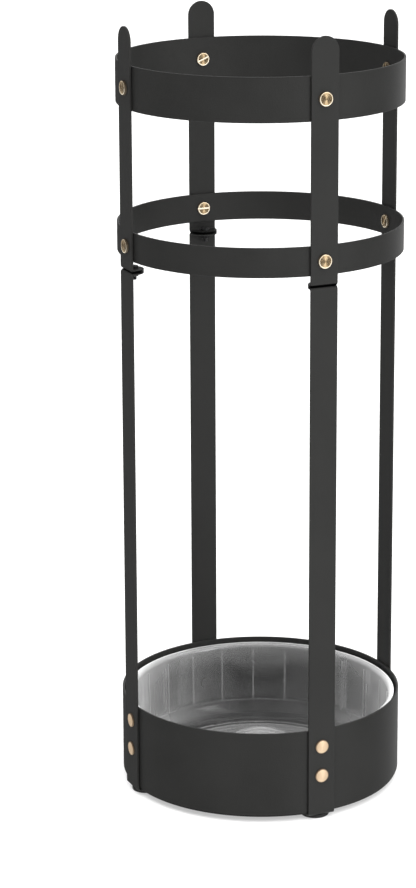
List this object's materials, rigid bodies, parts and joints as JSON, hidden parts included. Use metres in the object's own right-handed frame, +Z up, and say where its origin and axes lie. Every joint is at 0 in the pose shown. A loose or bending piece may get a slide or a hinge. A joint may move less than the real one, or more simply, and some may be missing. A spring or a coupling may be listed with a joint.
{
  "type": "umbrella stand",
  "caption": "Free-standing round umbrella stand of black flat-steel bands and straps with brass-coloured fasteners, rubber feet and a clear lift-out drip tray.",
  "frame": {"origin": "on the floor at the centre of the stand", "axes": "+Z up along the stand's axis; the four straps stand on +X, +Y, -X and -Y"},
  "size_m": [0.2064, 0.2064, 0.55],
  "materials": {
    "black_powder_coat": "matte fine-texture powder coat",
    "turned_brass": "lathe-turned face, polished rim",
    "rivet_brass": "smooth polished",
    "black_screw_steel": "black zinc",
    "black_rubber": "matte moulded",
    "clear_plastic": "clear gloss, moulded ribs"
  },
  "bodies": {
    "stand": {"top_ring": "black_powder_coat", "middle_ring": "black_powder_coat", "base_ring": "black_powder_coat", "base_plate": "black_powder_coat", "upper_strap_right": "black_powder_coat", "upper_strap_back": "black_powder_coat", "upper_strap_left": "black_powder_coat", "upper_strap_front": "black_powder_coat", "lower_strap_right": "black_powder_coat", "lower_strap_back": "black_powder_coat", "lower_strap_left": "black_powder_coat", "lower_strap_front": "black_powder_coat", "top_ring_posts": "turned_brass", "top_ring_screws": "turned_brass", "middle_ring_posts": "turned_brass", "middle_ring_screws": "turned_brass", "base_rivets_upper": "rivet_brass", "base_rivets_lower": "rivet_brass", "joint_screws": "black_screw_steel", "joint_nuts": "black_screw_steel", "foot_pad_right": "black_rubber", "foot_pad_back": "black_rubber", "foot_pad_left": "black_rubber", "foot_pad_front": "black_rubber"},
    "tray": {"drip_tray": "clear_plastic"}
  },
  "joints": [
    {"name": "tray_lift", "type": "slide", "parent": "stand", "child": "tray", "axis": [0, 0, 1], "range_m": [0, 0.3]}
  ]
}
